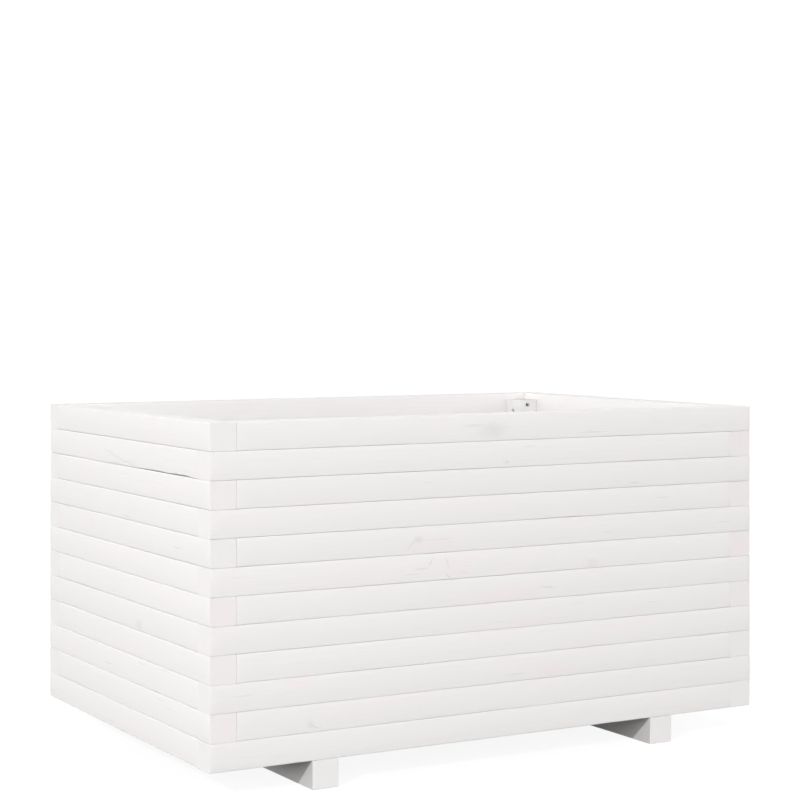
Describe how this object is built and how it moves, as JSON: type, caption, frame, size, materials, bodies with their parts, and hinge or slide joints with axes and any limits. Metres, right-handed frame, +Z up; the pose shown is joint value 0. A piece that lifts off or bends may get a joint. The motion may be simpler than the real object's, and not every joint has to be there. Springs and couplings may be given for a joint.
{
  "type": "slatted wooden planter",
  "caption": "Rectangular floor planter of white-painted square battens stacked in courses that lap at the corners, on two foot bars, with corner posts and a drained board floor.",
  "frame": {"origin": "on the ground, under the middle of the planter", "axes": "+X along the length, front wall facing -Y, +Z up"},
  "size_m": [0.9, 0.6, 0.495],
  "materials": {
    "white_painted_pine": "thin white satin paint over planed pine, grain and knots just showing",
    "zinc_plated_steel": "bright zinc plating"
  },
  "bodies": {
    "root": {"front_batten_01": "white_painted_pine", "front_batten_02": "white_painted_pine", "front_batten_03": "white_painted_pine", "front_batten_04": "white_painted_pine", "front_batten_05": "white_painted_pine", "front_batten_06": "white_painted_pine", "front_batten_07": "white_painted_pine", "front_batten_08": "white_painted_pine", "front_batten_09": "white_painted_pine", "front_batten_10": "white_painted_pine", "front_batten_11": "white_painted_pine", "front_batten_12": "white_painted_pine", "back_batten_01": "white_painted_pine", "back_batten_02": "white_painted_pine", "back_batten_03": "white_painted_pine", "back_batten_04": "white_painted_pine", "back_batten_05": "white_painted_pine", "back_batten_06": "white_painted_pine", "back_batten_07": "white_painted_pine", "back_batten_08": "white_painted_pine", "back_batten_09": "white_painted_pine", "back_batten_10": "white_painted_pine", "back_batten_11": "white_painted_pine", "back_batten_12": "white_painted_pine", "left_batten_01": "white_painted_pine", "left_batten_02": "white_painted_pine", "left_batten_03": "white_painted_pine", "left_batten_04": "white_painted_pine", "left_batten_05": "white_painted_pine", "left_batten_06": "white_painted_pine", "left_batten_07": "white_painted_pine", "left_batten_08": "white_painted_pine", "left_batten_09": "white_painted_pine", "left_batten_10": "white_painted_pine", "left_batten_11": "white_painted_pine", "left_batten_12": "white_painted_pine", "right_batten_01": "white_painted_pine", "right_batten_02": "white_painted_pine", "right_batten_03": "white_painted_pine", "right_batten_04": "white_painted_pine", "right_batten_05": "white_painted_pine", "right_batten_06": "white_painted_pine", "right_batten_07": "white_painted_pine", "right_batten_08": "white_painted_pine", "right_batten_09": "white_painted_pine", "right_batten_10": "white_painted_pine", "right_batten_11": "white_painted_pine", "right_batten_12": "white_painted_pine", "corner_post_front_left": "white_painted_pine", "corner_post_front_right": "white_painted_pine", "corner_post_back_left": "white_painted_pine", "corner_post_back_right": "white_painted_pine", "foot_left": "white_painted_pine", "foot_right": "white_painted_pine", "floor_board_1": "white_painted_pine", "floor_board_2": "white_painted_pine", "floor_board_3": "white_painted_pine", "floor_board_4": "white_painted_pine", "wall_screws": "zinc_plated_steel", "base_screws": "zinc_plated_steel"}
  },
  "joints": []
}
